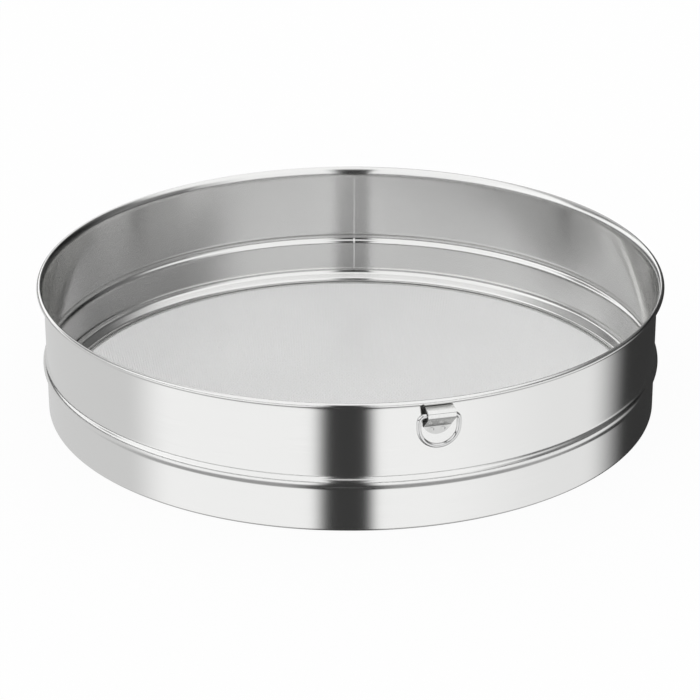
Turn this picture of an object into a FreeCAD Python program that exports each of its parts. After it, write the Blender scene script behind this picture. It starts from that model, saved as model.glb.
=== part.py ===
import FreeCAD, Part
import math
import os
from types import SimpleNamespace

import Sketcher
from FreeCAD import Placement, Rotation, Vector

# A drum sieve: a rolled steel hoop with a disc of wire cloth clamped in its base and a
# D-shaped hanging ring held under its rim by a folded strap.
# Lengths are in millimetres and angles in degrees. +Z is up, the origin is the centre of the
# base, and the hanger faces -Y.

doc = FreeCAD.newDocument("drum_sieve")

# Driving sizes: name, value and what it measures
DRIVING_SIZES = [
    ("wall_radius", 174.0, "outside of the hoop's plain wall"),
    ("overall_height", 75.0, "base to the top of the rolled rim"),
    ("sheet_thickness", 0.8, "steel sheet of the hoop"),
    ("lip_width", 8.0, "base lip, from the wall's outside to its inner edge"),
    ("base_bend_radius", 0.8, "inside of the bend between the lip and the wall"),
    ("bead_centre_height", 28.4, "base to the middle of the swaged bead"),
    ("bead_bend_radius", 2.45, "inside of each of the bead's bends"),
    ("bead_bend_angle", 50.0, "turn of the bead's outer bends"),
    ("flare_radius", 5.6, "inside of the bend that leads out to the rolled rim"),
    ("flare_angle", 50.0, "turn of that bend"),
    ("curl_radius", 0.7, "inside of the rolled rim"),
    ("curl_angle", 260.0, "turn of the rolled rim"),
    ("seam_angle", 164.4, "place of the welded seam, round from the hanger"),
    ("seam_width", 1.2, "weld metal of the seam"),
    ("seam_rise", 0.15, "height of the weld metal inside the wall"),
    ("cloth_thickness", 0.5, "woven wire cloth"),
    ("cloth_edge_gap", 0.2, "cloth's edge to the start of the base bend"),
    ("ring_thickness", 1.0, "steel sheet of the clamp ring"),
    ("ring_top_height", 8.5, "base to the top of the clamp ring"),
    ("ring_reach", 7.0, "clamp ring's bore, in from the outside of the wall"),
    ("ring_collar_height", 0.6, "upright edge of the clamp ring, against the wall"),
    ("ring_shoulder_angle", 59.0, "clamp ring's shoulder, from upright"),
    ("ring_collar_radius", 3.2, "inside of the clamp ring's bend below that edge"),
    ("ring_bend_radius", 0.8, "inside of the clamp ring's lower bend"),
    ("fit_gap", 0.05, "room between curved pieces that are pressed together"),
    ("strap_width", 15.0, "folded strap of the hanger"),
    ("strap_thickness", 1.0, "steel sheet of the strap"),
    ("strap_drop", 20.5, "top of the rim down to the lowest point of the strap"),
    ("strap_end_ease", 1.0, "radius of the strap's rounded end, past half its width"),
    ("strap_bend_radius", 0.6, "inside of the strap's plain bends"),
    ("strap_slope_angle", 49.2, "strap below the bar, from upright"),
    ("strap_front_height", 1.3, "upright face of the strap in front of the bar"),
    ("strap_roof_angle", 84.0, "strap above the bar, from upright"),
    ("strap_tuck_gap", 1.0, "wall to the strap's upper end"),
    ("strap_rim_gap", 0.1, "underside of the rolled rim down to the top of the strap"),
    ("weld_spread", 6.0, "distance between the strap's two spot welds"),
    ("weld_inset", 2.8, "strap's lowest point up to the middle of the spot welds"),
    ("weld_radius", 1.4, "dimple of a spot weld"),
    ("weld_depth", 0.2, "depth of that dimple"),
    ("wire_diameter", 2.5, "wire of the hanging ring"),
    ("bar_standoff", 7.2, "wall to the middle of the ring's straight bar"),
    ("bar_clearance", 0.55, "room round the bar inside the strap"),
    ("ring_side_room", 2.0, "opening of the hanging ring, past each side of the strap"),
    ("ring_inside_height", 14.8, "opening of the hanging ring, below its bar"),
    ("ring_corner_radius", 3.25, "middle of the wire at the ring's two corners"),
    ("ring_side_shift", 1.0, "hanging ring, slid along its bar from the strap's middle"),
    ("overrun", 5.0, "how far a cutting shape reaches past what it cuts"),
]

QUARTER_TURN = 90.0
LEFT = 1
RIGHT = -1
SKETCH_ORIGIN = (-1, 1)
SKETCH_UPRIGHT_AXIS = -2
ARC_CENTRE = 3

# Sketches stand upright through the hanger: X leads out from the axis, and Y leads up.
OUTWARD_PLANE = Placement(
    Vector(), Rotation(Vector(0, -1, 0), Vector(0, 0, 1), Vector(-1, 0, 0), "XYZ")
)


class Size:
    """A size held both as an expression of the sheet's cells and as its present value."""

    def __init__(self, text, value):
        self.text = text
        self.value = value

    def __add__(self, other):
        return Size(f"({self.text} + {other.text})", self.value + other.value)

    def __sub__(self, other):
        return Size(f"({self.text} - {other.text})", self.value - other.value)

    def __truediv__(self, number):
        return Size(f"({self.text} / {number})", self.value / number)

    def __neg__(self):
        return Size(f"(-{self.text})", -self.value)


def fill_sheet():
    """Write the driving sizes to a sheet and return them by name."""
    sheet = doc.addObject("Spreadsheet::Sheet", "Sizes")
    for row, (name, value, meaning) in enumerate(DRIVING_SIZES, start=1):
        sheet.set(f"A{row}", name)
        sheet.set(f"B{row}", str(value))
        sheet.set(f"C{row}", meaning)
        sheet.setAlias(f"B{row}", name)
    doc.recompute()
    cells = {}
    for name, _, _ in DRIVING_SIZES:
        cells[name] = Size(f"Sizes.{name}", float(sheet.get(name)))
    return SimpleNamespace(**cells)


dim = fill_sheet()


def sine(angle):
    return math.sin(math.radians(angle.value))


def cosine(angle):
    return math.cos(math.radians(angle.value))


# Sizes that several pieces share
wall_inside = dim.wall_radius - dim.sheet_thickness
cloth_top = dim.sheet_thickness + dim.cloth_thickness
curl_outside = dim.curl_radius + dim.sheet_thickness
rim_underside = dim.overall_height - curl_outside - curl_outside
bar_radius = dim.wire_diameter / 2
bar_distance = dim.wall_radius + dim.bar_standoff
cradle_radius = bar_radius + dim.bar_clearance
strap_bottom = dim.overall_height - dim.strap_drop

# The strap's roof fits under the rim, and the bar takes its height from it.
roof_turned = dim.strap_bend_radius.value * (1 - cosine(dim.strap_roof_angle))
roof_reach = (dim.bar_standoff + cradle_radius - dim.strap_tuck_gap).value - roof_turned
roof_run = roof_reach / sine(dim.strap_roof_angle)
roof_bend = (dim.strap_bend_radius + dim.strap_thickness).value * sine(dim.strap_roof_angle)
roof_rise = dim.strap_front_height.value + roof_bend + roof_run * cosine(dim.strap_roof_angle)
bar_height = rim_underside - dim.strap_rim_gap - Size(str(roof_rise), roof_rise)


class FoldLine:
    """One face of a folded sheet or one wire: straights and bends that run on smoothly.

    A bound length or radius is tied to the sheet. A fitted straight starts from a guess,
    and the places that are held settle it.
    """

    def __init__(self, sketch, start_x, start_y, heading):
        self.sketch = sketch
        self.heading = heading
        self.point = Vector(start_x.value, start_y.value, 0)
        self.start = (start_x, start_y)
        self.last = None

    def tie(self, kind, places, size):
        """Hold a measure of the sketch at a size of the sheet."""
        index = self.sketch.addConstraint(Sketcher.Constraint(kind, *places, size.value))
        self.sketch.setExpression(f"Constraints[{index}]", size.text)

    def tie_angle(self, places, size):
        turn = math.radians(size.value)
        index = self.sketch.addConstraint(Sketcher.Constraint("Angle", *places, turn))
        self.sketch.setExpression(f"Constraints[{index}]", size.text)

    def hold(self, place, across=None, up=None):
        """Hold a point at a distance across and up from the sketch's origin."""
        if across is not None:
            self.tie("DistanceX", (*SKETCH_ORIGIN, *place), across)
        if up is not None:
            self.tie("DistanceY", (*SKETCH_ORIGIN, *place), up)

    def join(self, edge, begin, end):
        """Run on smoothly from the last piece, or hold the first one at its start."""
        if self.last is None:
            across, up = self.start
            if across.value == 0:
                self.sketch.addConstraint(
                    Sketcher.Constraint("PointOnObject", edge, begin, SKETCH_UPRIGHT_AXIS)
                )
                across = None
            self.hold((edge, begin), across, up)
            level = "Horizontal" if self.heading % (2 * QUARTER_TURN) == 0 else "Vertical"
            self.sketch.addConstraint(Sketcher.Constraint(level, edge))
        else:
            self.sketch.addConstraint(Sketcher.Constraint("Tangent", *self.last, edge, begin))
        self.last = (edge, end)

    def direction(self):
        turn = math.radians(self.heading)
        return Vector(math.cos(turn), math.sin(turn), 0)

    def fitted_straight(self, guess):
        end = self.point + self.direction() * guess
        edge = self.sketch.addGeometry(Part.LineSegment(self.point, end))
        self.join(edge, 1, 2)
        self.point = end
        return edge

    def straight(self, length):
        edge = self.fitted_straight(length.value)
        self.tie("Distance", (edge,), length)

    def bend(self, radius, turn, side):
        """Turn to the left or right, and return the place of the bend's centre."""
        ahead = self.direction()
        to_centre = Vector(-ahead.y, ahead.x, 0) * side
        centre = self.point + to_centre * radius.value
        first = math.atan2(-to_centre.y, -to_centre.x)
        last = first + math.radians(turn.value) * side
        circle = Part.Circle(centre, Vector(0, 0, 1), radius.value)
        begin, end = (1, 2) if side == LEFT else (2, 1)
        edge = self.sketch.addGeometry(
            Part.ArcOfCircle(circle, min(first, last), max(first, last))
        )
        self.join(edge, begin, end)
        self.tie("Radius", (edge,), radius)
        self.tie_angle((edge,), turn)
        self.point = centre + Vector(math.cos(last), math.sin(last), 0) * radius.value
        self.heading += turn.value * side
        return (edge, ARC_CENTRE)


quarter = Size(str(QUARTER_TURN), QUARTER_TURN)
half = quarter + quarter


def upright_sketch(name):
    sketch = doc.addObject("Sketcher::SketchObject", name)
    sketch.Placement = OUTWARD_PLANE
    return sketch


def thicken(line, thickness, side):
    """Give a fold line its sheet, on the left or the right as the line runs."""
    doc.recompute()
    section = doc.addObject("Part::Offset2D", f"{line.sketch.Name}_section")
    section.Source = line.sketch
    section.Mode = "Skin"
    section.Join = "Tangent"
    section.Fill = True
    section.setExpression("Value", (thickness if side == LEFT else -thickness).text)
    return section


def spin(section, name):
    """Turn a section about the drum's axis."""
    piece = doc.addObject("Part::Revolution", name)
    piece.Source = section
    piece.Base = Vector()
    piece.Axis = Vector(0, 0, 1)
    piece.Angle = 4 * QUARTER_TURN
    piece.Solid = True
    return piece


def bind(piece, **sizes):
    for name, size in sizes.items():
        piece.setExpression(name, size.text)


def place(piece, x=None, y=None, z=None):
    for axis, size in (("x", x), ("y", y), ("z", z)):
        if size is not None:
            piece.setExpression(f"Placement.Base.{axis}", size.text)


def drum_hoop():
    """The hoop: base lip, wall with its swaged bead, flare, rolled rim and welded seam."""
    base_outside = dim.base_bend_radius + dim.sheet_thickness
    crown_radius = dim.bead_bend_radius + dim.sheet_thickness
    curl_centre = dim.overall_height - curl_outside
    bead_half = (dim.bead_bend_radius + crown_radius).value * sine(dim.bead_bend_angle)
    flare_rise = (dim.flare_radius - dim.curl_radius).value * sine(dim.flare_angle)
    bead_bottom = dim.bead_centre_height.value - bead_half
    bead_top = dim.bead_centre_height.value + bead_half
    flare_start = curl_centre.value - flare_rise

    line = FoldLine(
        upright_sketch("hoop_line"), dim.wall_radius - dim.lip_width, Size("0", 0), 0
    )
    line.straight(dim.lip_width - base_outside)
    line.bend(base_outside, quarter, LEFT)
    line.fitted_straight(bead_bottom - base_outside.value)
    line.bend(dim.bead_bend_radius, dim.bead_bend_angle, RIGHT)
    crown = line.bend(crown_radius, dim.bead_bend_angle + dim.bead_bend_angle, LEFT)
    line.hold(crown, up=dim.bead_centre_height)
    line.bend(dim.bead_bend_radius, dim.bead_bend_angle, RIGHT)
    line.fitted_straight(flare_start - bead_top)
    line.bend(dim.flare_radius, dim.flare_angle, RIGHT)
    curl = line.bend(dim.curl_radius, dim.curl_angle, RIGHT)
    line.hold(curl, up=curl_centre)
    wall = spin(thicken(line, dim.sheet_thickness, LEFT), "hoop_wall")

    hoop = doc.addObject("Part::MultiFuse", "drum_hoop")
    lower = seam_weld("lower_seam", dim.ring_top_height.value, bead_bottom)
    upper = seam_weld("upper_seam", bead_top, flare_start)
    hoop.Shapes = [wall, lower, upper]
    return hoop


def seam_weld(name, bottom, top):
    """Weld metal standing a little proud of the wall's inside, between two heights."""
    weld = doc.addObject("Part::Box", name)
    bind(weld, Length=dim.seam_rise + dim.sheet_thickness / 2, Width=dim.seam_width)
    weld.Height = top - bottom
    corner = Vector((wall_inside - dim.seam_rise).value, -dim.seam_width.value / 2, bottom)
    turn = dim.seam_angle.value - QUARTER_TURN
    weld.Placement = Placement(Vector(), Rotation(Vector(0, 0, 1), turn)) * Placement(
        corner, Rotation()
    )
    return weld


def mesh_disc():
    """Wire cloth stretched across the base, on the lip and under the clamp ring's skirt."""
    cloth = doc.addObject("Part::Cylinder", "mesh_disc")
    base_outside = dim.base_bend_radius + dim.sheet_thickness
    radius = dim.wall_radius - base_outside - dim.cloth_edge_gap
    bind(cloth, Radius=radius, Height=dim.cloth_thickness)
    place(cloth, z=dim.sheet_thickness)
    return cloth


def mesh_clamp_ring():
    """Folded ring pressed into the hoop: a collar, a sloping shoulder and a skirt."""
    collar_radius = wall_inside - dim.fit_gap
    skirt_radius = dim.wall_radius - dim.ring_reach + dim.ring_thickness
    collar_bend = dim.ring_collar_radius + dim.ring_thickness
    bends = (collar_bend + dim.ring_bend_radius).value
    slope = dim.ring_shoulder_angle
    across = (collar_radius - skirt_radius).value - bends * (1 - cosine(slope))
    shoulder = across / sine(slope)
    drop = bends * sine(slope) + shoulder * cosine(slope)
    skirt = (dim.ring_top_height - dim.ring_collar_height - cloth_top).value - drop

    line = FoldLine(upright_sketch("ring_line"), collar_radius, dim.ring_top_height, -QUARTER_TURN)
    line.straight(dim.ring_collar_height)
    line.bend(collar_bend, slope, RIGHT)
    line.fitted_straight(shoulder)
    line.bend(dim.ring_bend_radius, slope, LEFT)
    line.fitted_straight(skirt)
    line.hold(line.last, across=skirt_radius, up=cloth_top)
    return spin(thicken(line, dim.ring_thickness, RIGHT), "mesh_clamp_ring")


def strap_strip():
    """The strap's fold: flange on the wall, slope, front and roof round the bar."""
    flange_bend = dim.strap_bend_radius + dim.strap_thickness
    slope = dim.strap_slope_angle
    flange_face = dim.wall_radius + dim.fit_gap
    out_to_bar = (bar_distance - flange_face).value + cradle_radius.value * cosine(slope)
    slope_run = (out_to_bar - flange_bend.value * (1 - cosine(slope))) / sine(slope)
    slope_rise = flange_bend.value * sine(slope) + slope_run * cosine(slope)
    slope_start = bar_height.value - cradle_radius.value * sine(slope) - slope_rise

    line = FoldLine(upright_sketch("strap_line"), flange_face, strap_bottom, QUARTER_TURN)
    line.fitted_straight(slope_start - strap_bottom.value)
    line.bend(flange_bend, slope, RIGHT)
    line.fitted_straight(slope_run)
    cradle = line.bend(cradle_radius, slope, LEFT)
    line.hold(cradle, across=bar_distance, up=bar_height)
    line.straight(dim.strap_front_height)
    line.bend(dim.strap_bend_radius, dim.strap_roof_angle, LEFT)
    line.fitted_straight(roof_run)
    line.hold(line.last, across=dim.wall_radius + dim.strap_tuck_gap)
    strip = doc.addObject("Part::Extrusion", "strap_strip")
    strip.Base = thicken(line, dim.strap_thickness, RIGHT)
    strip.DirMode = "Custom"
    strip.Dir = Vector(1, 0, 0)
    strip.Symmetric = True
    strip.Solid = True
    bind(strip, LengthFwd=dim.strap_width)
    return strip


def strap_blank():
    """The strap's outline from the front: straight sides and a rounded lower end."""
    depth = dim.bar_standoff + dim.strap_thickness + dim.overrun + dim.overrun
    inner_end = -(dim.wall_radius - dim.overrun)
    end_radius = dim.strap_width / 2 + dim.strap_end_ease
    round_centre = strap_bottom + end_radius
    lower = doc.addObject("Part::Cylinder", "strap_lower_outline")
    bind(lower, Radius=end_radius, Height=depth)
    lower.Placement.Rotation = Rotation(Vector(1, 0, 0), QUARTER_TURN)
    place(lower, y=inner_end, z=round_centre)
    upper = doc.addObject("Part::Box", "strap_upper_outline")
    full_width = dim.strap_width + dim.overrun
    bind(upper, Length=full_width, Width=depth, Height=dim.overall_height - round_centre)
    place(upper, x=-(full_width / 2), y=inner_end - depth, z=round_centre)
    blank = doc.addObject("Part::Fuse", "strap_blank")
    blank.Base = lower
    blank.Tool = upper
    return blank


def spot_weld_dimples():
    """Two shallow round marks where the strap's flange is welded to the wall."""
    face = -(dim.wall_radius + dim.fit_gap + dim.strap_thickness)
    marks = []
    for name, shift in (("left_weld", -dim.weld_spread), ("right_weld", dim.weld_spread)):
        mark = doc.addObject("Part::Cylinder", name)
        bind(mark, Radius=dim.weld_radius, Height=dim.weld_depth + dim.overrun)
        mark.Placement.Rotation = Rotation(Vector(1, 0, 0), QUARTER_TURN)
        place(mark, x=shift / 2, y=face + dim.weld_depth, z=strap_bottom + dim.weld_inset)
        marks.append(mark)
    dimples = doc.addObject("Part::MultiFuse", "spot_weld_dimples")
    dimples.Shapes = marks
    return dimples


def hanger_strap():
    """Folded strap that holds the ring's bar: welded below it and tucked under the rim."""
    trimmed = doc.addObject("Part::Common", "strap_trimmed")
    trimmed.Base = strap_strip()
    trimmed.Tool = strap_blank()
    strap = doc.addObject("Part::Cut", "hanger_strap")
    strap.Base = trimmed
    strap.Tool = spot_weld_dimples()
    return strap


def origin_plane(body, role):
    for feature in body.Origin.OriginFeatures:
        if feature.Role == role:
            return feature
    raise ValueError(f"{body.Label} has no {role}")


def hanger_ring():
    """D-shaped ring of round wire, hanging from its straight bar."""
    body = doc.addObject("PartDesign::Body", "hanger_ring")
    place(body, x=-dim.ring_side_shift, y=-bar_distance, z=bar_height)
    path = body.newObject("Sketcher::SketchObject", "ring_path")
    path.AttachmentSupport = (origin_plane(body, "XZ_Plane"), "")
    path.MapMode = "FlatFace"
    bow_radius = dim.strap_width / 2 + dim.ring_side_room + bar_radius
    half_bar = bow_radius - dim.ring_corner_radius
    drop = dim.ring_inside_height + dim.wire_diameter
    leg = drop - dim.ring_corner_radius - bow_radius

    line = FoldLine(path, Size("0", 0), Size("0", 0), 0)
    line.straight(half_bar)
    line.bend(dim.ring_corner_radius, quarter, RIGHT)
    line.straight(leg)
    line.bend(bow_radius, half, RIGHT)
    line.fitted_straight(leg.value)
    line.bend(dim.ring_corner_radius, quarter, RIGHT)
    line.fitted_straight(half_bar.value)
    path.addConstraint(Sketcher.Constraint("Coincident", *line.last, 0, 1))

    profile = body.newObject("Sketcher::SketchObject", "ring_wire")
    profile.AttachmentSupport = (origin_plane(body, "YZ_Plane"), "")
    profile.MapMode = "FlatFace"
    circle = Part.Circle(Vector(), Vector(0, 0, 1), bar_radius.value)
    edge = profile.addGeometry(circle)
    profile.addConstraint(Sketcher.Constraint("Coincident", edge, ARC_CENTRE, *SKETCH_ORIGIN))
    index = profile.addConstraint(Sketcher.Constraint("Diameter", edge, dim.wire_diameter.value))
    profile.setExpression(f"Constraints[{index}]", dim.wire_diameter.text)
    doc.recompute()
    pipe = body.newObject("PartDesign::AdditivePipe", "ring_bent_wire")
    pipe.Profile = profile
    pipe.Spine = path
    return body


def check_and_write(pieces):
    """Stop if anything failed to build, then write each piece to its own file."""
    doc.recompute()
    for item in doc.Objects:
        if "Invalid" in item.State or "Error" in item.State:
            raise RuntimeError(f"{item.Label} failed: {item.State}")
    for piece in pieces:
        shape = piece.Shape
        if shape.isNull() or not shape.isValid() or len(shape.Solids) != 1:
            raise RuntimeError(f"{piece.Label} is not one sound solid")
    os.makedirs("parts", exist_ok=True)
    for piece in pieces:
        piece.Shape.exportStep(f"parts/{piece.Label}.step")
        print(f"{piece.Label}: volume {piece.Shape.Volume:.1f}")


check_and_write([
    drum_hoop(),
    mesh_disc(),
    mesh_clamp_ring(),
    hanger_strap(),
    hanger_ring(),
])
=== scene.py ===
"""Looks of a stainless steel drum sieve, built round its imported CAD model.

The hoop, the clamp ring, the woven cloth, the seam and the hanging ring are made by Geometry
Nodes, and the strap is folded in mesh code. Everything is in metres, in the CAD model's frame:
+Z is up, the base stands on the origin and the hanger faces -Y.
"""

import math

import bmesh
import bpy
from mathutils import Matrix, Vector


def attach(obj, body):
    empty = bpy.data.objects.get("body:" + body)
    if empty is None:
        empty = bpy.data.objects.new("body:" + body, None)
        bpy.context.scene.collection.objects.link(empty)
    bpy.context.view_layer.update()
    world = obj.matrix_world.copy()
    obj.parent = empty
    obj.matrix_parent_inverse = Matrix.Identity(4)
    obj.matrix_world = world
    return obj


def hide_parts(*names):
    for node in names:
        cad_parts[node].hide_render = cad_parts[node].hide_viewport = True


bl_info = {
    "name": "Drum sieve",
    "version": (1, 0, 0),
    "blender": (4, 5, 0),
    "location": "3D View > Sidebar > Sieve",
    "description": "Builds a drum sieve with its woven cloth, hanging ring and studio",
    "category": "Object",
}

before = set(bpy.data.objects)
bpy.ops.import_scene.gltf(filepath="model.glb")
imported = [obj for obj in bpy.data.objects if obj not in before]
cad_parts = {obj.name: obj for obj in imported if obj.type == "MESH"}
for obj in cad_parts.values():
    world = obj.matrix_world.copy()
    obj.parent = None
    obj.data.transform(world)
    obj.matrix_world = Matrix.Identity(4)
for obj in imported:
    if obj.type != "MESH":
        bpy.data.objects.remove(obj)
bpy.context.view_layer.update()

MM = 0.001
QUARTER_TURN = math.pi / 2

# How finely bends are drawn, and how near a straight's end its holding point stands
BEND_STEP = math.radians(9)
LEAST_BEND_STEPS = 4
HOLD = 0.25 * MM
LONGEST_HOLD_SHARE = 0.25
END_STEPS = 6


# Sizes and colours


def length(name, description, millimetres):
    return bpy.props.FloatProperty(
        name=name, description=description, default=millimetres * MM, unit="LENGTH", precision=5
    )


def angle(name, description, degrees):
    return bpy.props.FloatProperty(
        name=name, description=description, default=math.radians(degrees), subtype="ANGLE"
    )


def count(name, description, number):
    return bpy.props.IntProperty(name=name, description=description, default=number)


def linear(hex_colour):
    """An sRGB hex colour as linear red, green and blue."""
    shares = [int(hex_colour[at : at + 2], 16) / 255 for at in (1, 3, 5)]
    return [s / 12.92 if s <= 0.04045 else ((s + 0.055) / 1.055) ** 2.4 for s in shares]


def colour(name, description, hex_colour):
    return bpy.props.FloatVectorProperty(
        name=name, description=description, default=linear(hex_colour), subtype="COLOR", size=3
    )


class HoopSizes(bpy.types.PropertyGroup):
    wall_radius: length("Wall radius", "Outside of the hoop's plain wall", 174.0)
    height: length("Height", "Base to the top of the rolled rim", 75.0)
    sheet: length("Sheet", "Thickness of the hoop's sheet", 0.8)
    lip_width: length("Lip width", "Base lip, from the wall's outside to its inner edge", 8.0)
    base_bend: length("Base bend", "Inside of the bend between the lip and the wall", 0.8)
    bead_height: length("Bead height", "Base to the middle of the swaged bead", 28.4)
    bead_bend: length("Bead bend", "Inside of each of the bead's bends", 2.45)
    bead_turn: angle("Bead turn", "Turn of the bead's outer bends", 50.0)
    flare_bend: length("Flare bend", "Inside of the bend that leads out to the rim", 5.6)
    flare_turn: angle("Flare turn", "Turn of that bend", 50.0)
    curl_bend: length("Curl bend", "Inside of the rolled rim", 0.7)
    curl_turn: angle("Curl turn", "Turn of the rolled rim", 260.0)
    seam_bearing: angle("Seam bearing", "Place of the welded seam, round from the hanger", 164.4)
    seam_width: length("Seam width", "Weld metal of the seam", 1.2)
    seam_rise: length("Seam rise", "Height of the weld metal inside the wall", 0.15)
    seam_sides: count("Seam sides", "Facets round the seam's weld metal", 16)
    steps: count("Steps", "Facets round the hoop and the clamp ring", 480)


class ClampRingSizes(bpy.types.PropertyGroup):
    sheet: length("Sheet", "Thickness of the clamp ring's sheet", 1.0)
    top_height: length("Top height", "Base to the top of the clamp ring", 8.5)
    reach: length("Reach", "Clamp ring's bore, in from the outside of the wall", 7.0)
    collar_height: length("Collar height", "Upright edge against the wall", 0.6)
    shoulder_turn: angle("Shoulder turn", "Clamp ring's shoulder, from upright", 59.0)
    collar_bend: length("Collar bend", "Inside of the bend below that edge", 3.2)
    bend: length("Bend", "Inside of the clamp ring's lower bend", 0.8)
    fit_gap: length("Fit gap", "Room between pieces that are pressed together", 0.05)


class ClothSizes(bpy.types.PropertyGroup):
    radius: length("Radius", "Outside of the cloth", 172.2)
    wire: length("Wire", "Thickness of each wire", 0.25)
    pitch: length("Pitch", "Spacing of the wires", 1.0)
    turn: angle("Turn", "Direction of the warp wires", -14.8)
    bundles: count("Bundles", "Pieces that each direction's wires are shared out to", 3)
    wire_sides: count("Wire sides", "Facets round a wire of the cloth", 3)


class HangerSizes(bpy.types.PropertyGroup):
    strap_width: length("Strap width", "Folded strap of the hanger", 15.0)
    strap_sheet: length("Strap sheet", "Thickness of the strap's sheet", 1.0)
    strap_drop: length("Strap drop", "Top of the rim to the strap's lowest point", 20.5)
    end_ease: length("End ease", "Radius of the strap's end, past half its width", 1.0)
    strap_bend: length("Strap bend", "Inside of the strap's plain bends", 0.6)
    slope_turn: angle("Slope turn", "Strap below the bar, from upright", 49.2)
    front_height: length("Front height", "Upright face in front of the bar", 1.3)
    roof_turn: angle("Roof turn", "Strap above the bar, from upright", 84.0)
    tuck_gap: length("Tuck gap", "Wall to the strap's upper end", 1.0)
    rim_gap: length("Rim gap", "Underside of the rolled rim to the strap's top", 0.1)
    fit_gap: length("Fit gap", "Wall to the strap's flange", 0.05)
    weld_spread: length("Weld spread", "Distance between the two spot welds", 6.0)
    weld_inset: length("Weld inset", "Strap's lowest point to the spot welds", 2.8)
    weld_radius: length("Weld radius", "Dimple of a spot weld", 1.4)
    weld_depth: length("Weld depth", "Depth of that dimple", 0.2)
    weld_flatness: count("Weld flatness", "How flat the dimple's bottom is", 4)
    edge_ease: length("Edge ease", "Rounding of the strap's cut edges", 0.24)
    ease_turn: angle("Ease turn", "Least turn of an edge that is rounded", 60.0)
    ease_steps: count("Ease steps", "Facets across a rounded edge", 3)
    grid: length("Grid", "Spacing of the strap's mesh", 0.35)
    wire: length("Wire", "Thickness of the hanging ring's wire", 2.5)
    standoff: length("Standoff", "Wall to the middle of the ring's bar", 7.2)
    bar_room: length("Bar room", "Room round the bar inside the strap", 0.55)
    side_room: length("Side room", "Opening of the ring, past each side of the strap", 2.0)
    inside_height: length("Inside height", "Opening of the ring, below its bar", 14.8)
    corner: length("Corner", "Middle of the wire at the ring's corners", 3.25)
    side_shift: length("Side shift", "Ring, slid along its bar from the strap's middle", 1.0)
    wire_sides: count("Wire sides", "Facets round the hanging ring's wire", 32)


class Finishes(bpy.types.PropertyGroup):
    sheet_light: colour("Sheet", "Polished stainless sheet", "#F1F1F0")
    sheet_dark: colour("Sheet grain", "The sheet's faint darker grain", "#EDEDEC")
    strap_light: colour("Strap", "Stainless strap, left as rolled", "#F3F3F2")
    strap_dark: colour("Strap marks", "The strap's faint darker marks", "#E6E6E5")
    # Grey round the spot welds: partly heat tint, partly painted shade for the dark edge where the
    # flange meets the wall
    strap_heat_tint_and_shade: colour("Strap heat tint", "The strap, greyed round its spot welds", "#D2D2D1")
    cloth_light: colour("Cloth", "Woven stainless wire", "#F8F8F7")
    cloth_dark: colour("Cloth in shade", "The cloth's faint darker patches", "#F0F0EF")
    wire_light: colour("Ring wire", "Bright drawn stainless wire", "#EAEAEA")
    wire_dark: colour("Ring wire marks", "The wire's faint drawing marks", "#D8D8D8")


class StudioSettings(bpy.types.PropertyGroup):
    bearing: angle("Bearing", "Camera's direction, round from the hanger", -14.8)
    camera_distance: length("Camera distance", "Camera to the drum's axis, level", 1461.0)
    camera_height: length("Camera height", "Camera above the floor", 671.45)
    aim_height: length("Aim height", "Middle of the picture above the floor", 27.2)
    aside: length("Aside", "Camera and aim to the side of the axis", -0.3)
    roll: angle("Roll", "Camera's roll", -0.096)
    lens: bpy.props.FloatProperty(
        name="Lens", description="Focal length on a 36 mm sensor", default=142.5, unit="CAMERA"
    )
    floor_colour: colour("Floor", "White paper sweep", "#F4F4F4")
    shade_colour: colour("Shade", "The paper in the drum's own shade", "#D0D0D0")
    floor_size: length("Floor size", "Side of the square floor", 12000.0)
    floor_gap: length("Floor gap", "Floor below the drum's base", 0.05)
    mirror_bounces: count("Mirror bounces", "Times that light is followed from metal to metal", 8)


# Helpers


def add_node(tree, kind, inputs=None, **settings):
    """Adds a node with its settings.

    An input takes a value, the socket that feeds it, or the node whose first output does.
    """
    node = tree.nodes.new(kind)
    for name, value in settings.items():
        setattr(node, name, value)
    for key, value in (inputs or {}).items():
        if isinstance(value, bpy.types.Node):
            value = value.outputs[0]
        if isinstance(value, bpy.types.NodeSocket):
            tree.links.new(value, node.inputs[key])
        else:
            node.inputs[key].default_value = value
    return node


def start_tree(name, sockets):
    """A Geometry Nodes tree with a geometry input and these named inputs, and its input node."""
    tree = bpy.data.node_groups.new(name, "GeometryNodeTree")
    tree.interface.new_socket("Geometry", in_out="INPUT", socket_type="NodeSocketGeometry")
    for label, kind in sockets.items():
        tree.interface.new_socket(label, in_out="INPUT", socket_type=f"NodeSocket{kind}")
    tree.interface.new_socket("Geometry", in_out="OUTPUT", socket_type="NodeSocketGeometry")
    return tree, tree.nodes.new("NodeGroupInput").outputs


def end_tree(tree, geometry, material):
    """Smooths, realizes and paints the tree's geometry."""
    smooth = add_node(tree, "GeometryNodeSetShadeSmooth", {"Geometry": geometry})
    real = add_node(tree, "GeometryNodeRealizeInstances", {"Geometry": smooth})
    paint = add_node(tree, "GeometryNodeSetMaterial", {"Geometry": real, "Material": material})
    add_node(tree, "NodeGroupOutput", {0: paint})


def line_mesh(name, points, closed):
    """A mesh of edges through the points."""
    edges = [(at, at + 1) for at in range(len(points) - 1)]
    if closed:
        edges.append((len(points) - 1, 0))
    mesh = bpy.data.meshes.new(name)
    mesh.from_pydata(points, edges, [])
    return mesh


def new_piece(name, mesh):
    piece = bpy.data.objects.new(name, mesh)
    bpy.context.scene.collection.objects.link(piece)
    return piece


def settle(piece):
    """Turns a piece's modifiers into a plain closed mesh whose faces point outwards."""
    graph = bpy.context.evaluated_depsgraph_get()
    mesh = bpy.data.meshes.new_from_object(piece.evaluated_get(graph))
    piece.modifiers.clear()
    piece.data = mesh
    shell = bmesh.new()
    shell.from_mesh(mesh)
    bmesh.ops.recalc_face_normals(shell, faces=shell.faces)
    shell.to_mesh(mesh)
    shell.free()


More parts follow.
